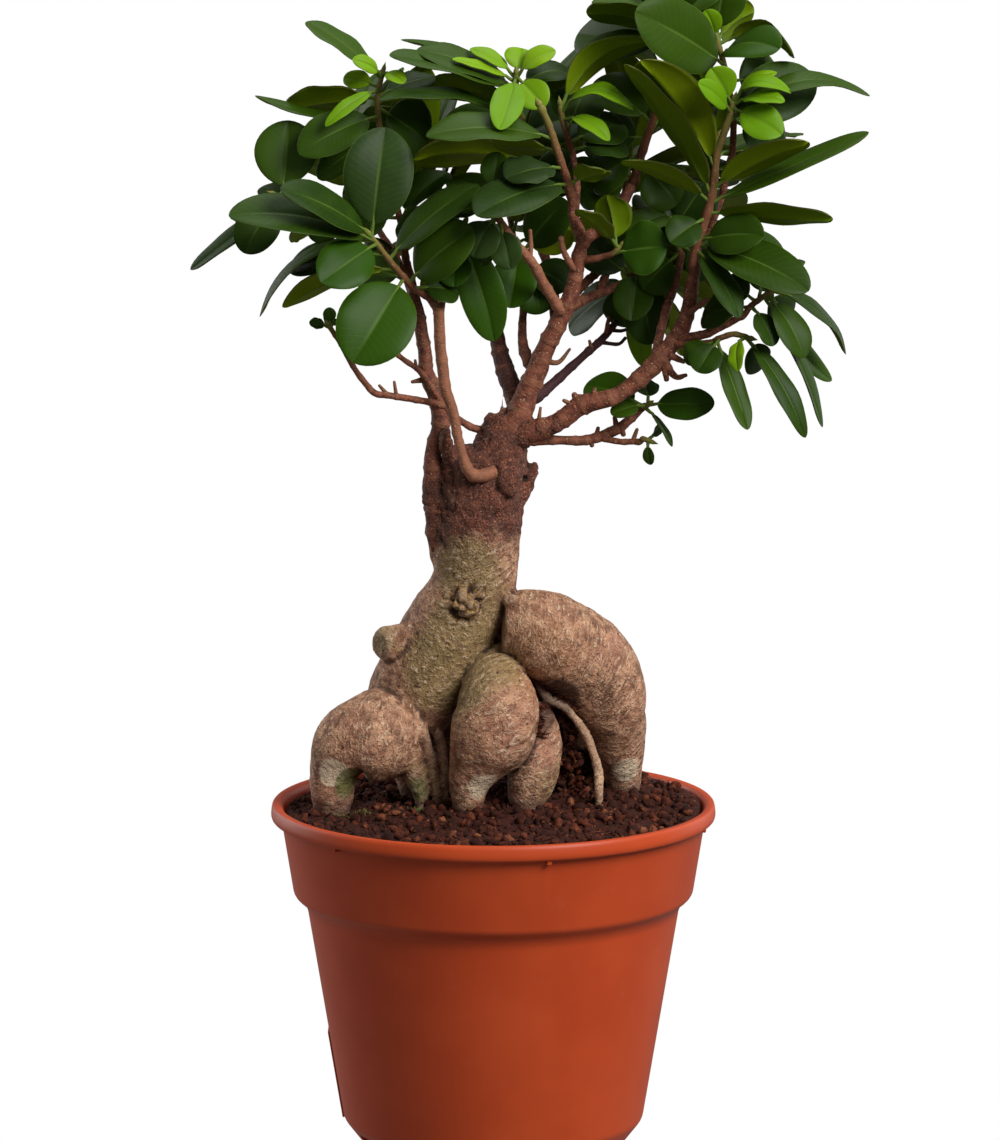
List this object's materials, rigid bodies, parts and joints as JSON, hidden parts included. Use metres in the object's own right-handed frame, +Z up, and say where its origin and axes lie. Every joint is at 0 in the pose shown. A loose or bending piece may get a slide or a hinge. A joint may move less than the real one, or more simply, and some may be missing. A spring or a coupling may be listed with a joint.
{
  "type": "potted bonsai tree",
  "caption": "Bonsai fig with a swollen multi-legged root trunk, thin grafted branches and glossy oval leaves, in a tapered plastic nursery pot of soil.",
  "frame": {"origin": "centre of the pot's flat underside", "axes": "+Z up along the plant, -Y to the front view of the tree, +X to its right"},
  "size_m": [0.1798, 0.1448, 0.3201],
  "materials": {
    "pot_plastic": "satin terracotta-coloured moulded plastic",
    "soil": "crumbly dark brown potting soil",
    "bark": "smooth grey-brown bark with pale pores",
    "leaf": "waxy glossy green"
  },
  "bodies": {
    "root": {"pot": "pot_plastic", "soil": "soil", "trunk": "bark", "shoot_left_front": "leaf", "shoot_left_far": "leaf", "shoot_left_low": "leaf", "shoot_left_top": "leaf", "shoot_left_middle": "leaf", "shoot_middle_front": "leaf", "shoot_middle_low": "leaf", "shoot_middle_sprout": "leaf", "shoot_middle_arched": "leaf", "shoot_top_middle": "leaf", "shoot_upper_right": "leaf", "shoot_middle_fork": "leaf", "shoot_middle_right": "leaf", "shoot_right_inner": "leaf", "shoot_right_top": "leaf", "shoot_right_back_top": "leaf", "shoot_right_front": "leaf", "shoot_right_hanging": "leaf", "shoot_right_low": "leaf", "shoot_right_lowest": "leaf", "shoot_back_far_left": "leaf", "shoot_back_left": "leaf", "shoot_back_low": "leaf", "shoot_back_middle": "leaf", "shoot_back_inner": "leaf", "shoot_back_fork": "leaf", "shoot_back_right": "leaf"}
  },
  "joints": []
}
